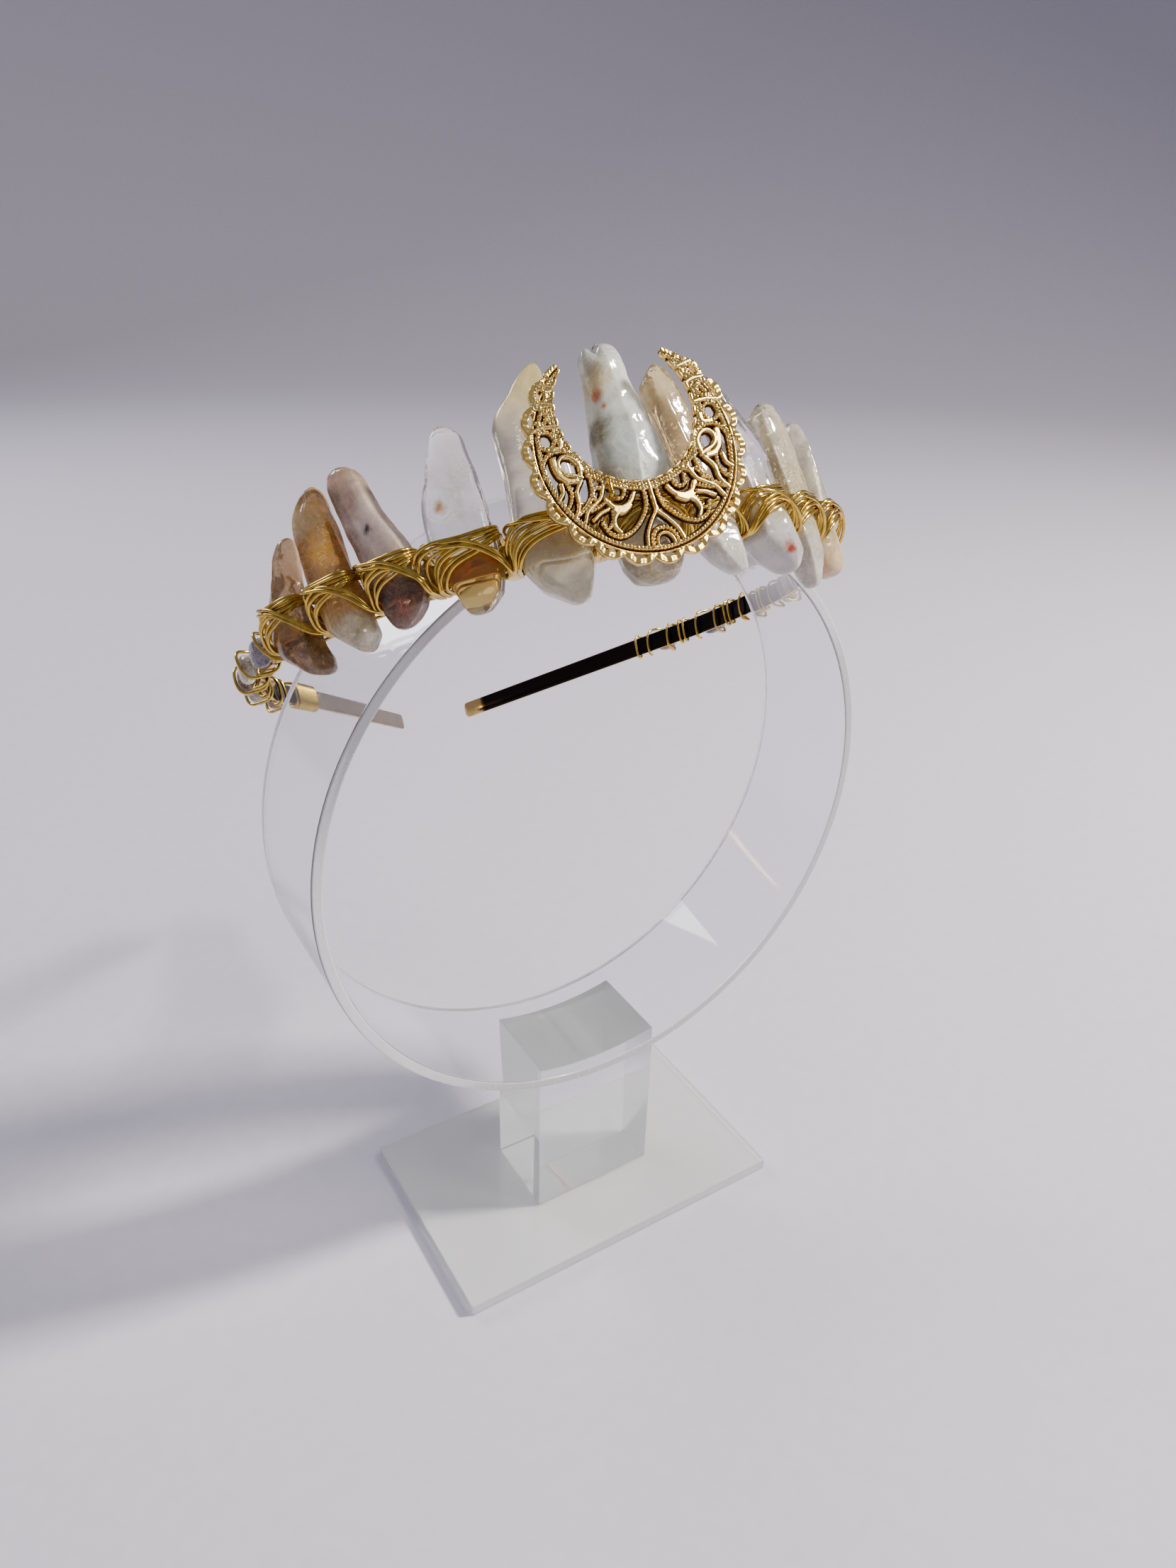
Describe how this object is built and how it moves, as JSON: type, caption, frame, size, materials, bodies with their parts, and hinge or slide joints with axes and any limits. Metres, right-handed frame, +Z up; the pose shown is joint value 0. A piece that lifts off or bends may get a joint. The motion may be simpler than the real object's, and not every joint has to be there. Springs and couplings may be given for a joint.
{
  "type": "diadem on a display stand",
  "caption": "Wire-wrapped headband diadem with upright tumbled quartz points, a filigree crescent moon in front and small chips along both arms, resting on a clear ring stand.",
  "frame": {"origin": "middle of the stand's base plate on its underside", "axes": "+X along the long side of the base to the wearer's left as seen from the front, +Y to the back, along the ring's axis, +Z up"},
  "size_m": [0.1337, 0.1504, 0.2047],
  "materials": {
    "headband": "polished gold plate",
    "wire": "bright gold wire",
    "crescent": "cast gold, bright ridges and dark recesses",
    "stand": "clear, polished edges",
    "crystal_01": "tumbled, pale rose to smoky",
    "crystal_02": "tumbled honey amber with a pale lobe",
    "crystal_03": "tumbled, milky",
    "crystal_04": "tumbled, clear above and honey below",
    "crystal_05": "tumbled, clear above and milky below",
    "crystal_06": "tumbled, opaque white",
    "crystal_07": "tumbled, clear brown with sparkle",
    "crystal_08": "tumbled, lilac clear and frosted",
    "crystal_09": "tumbled, veiled",
    "crystal_10": "tumbled, peach at its foot",
    "chip_left": "tumbled chips, violet to pale",
    "chip_right": "tumbled chips, pale to brown"
  },
  "bodies": {
    "root": {"headband": "headband", "crystal_01": "crystal_01", "crystal_02": "crystal_02", "crystal_03": "crystal_03", "crystal_04": "crystal_04", "crystal_05": "crystal_05", "crystal_06": "crystal_06", "crystal_07": "crystal_07", "crystal_08": "crystal_08", "crystal_09": "crystal_09", "crystal_10": "crystal_10", "wire_wrap_01": "wire", "wire_wrap_02": "wire", "wire_wrap_03": "wire", "wire_wrap_04": "wire", "wire_wrap_05": "wire", "wire_wrap_06": "wire", "wire_wrap_07": "wire", "wire_wrap_08": "wire", "wire_wrap_09": "wire", "wire_wrap_10": "wire", "chip_left_1": "chip_left", "chip_left_2": "chip_left", "chip_left_3": "chip_left", "chip_left_4": "chip_left", "chip_left_5": "chip_left", "chip_right_1": "chip_right", "chip_right_2": "chip_right", "chip_right_3": "chip_right", "chip_right_4": "chip_right", "chip_right_5": "chip_right", "chip_right_6": "chip_right", "arm_wire_left": "wire", "arm_wire_right": "wire", "crescent": "crescent", "crescent_tie": "wire", "stand_ring": "stand", "stand_neck": "stand", "stand_base": "stand"}
  },
  "joints": []
}
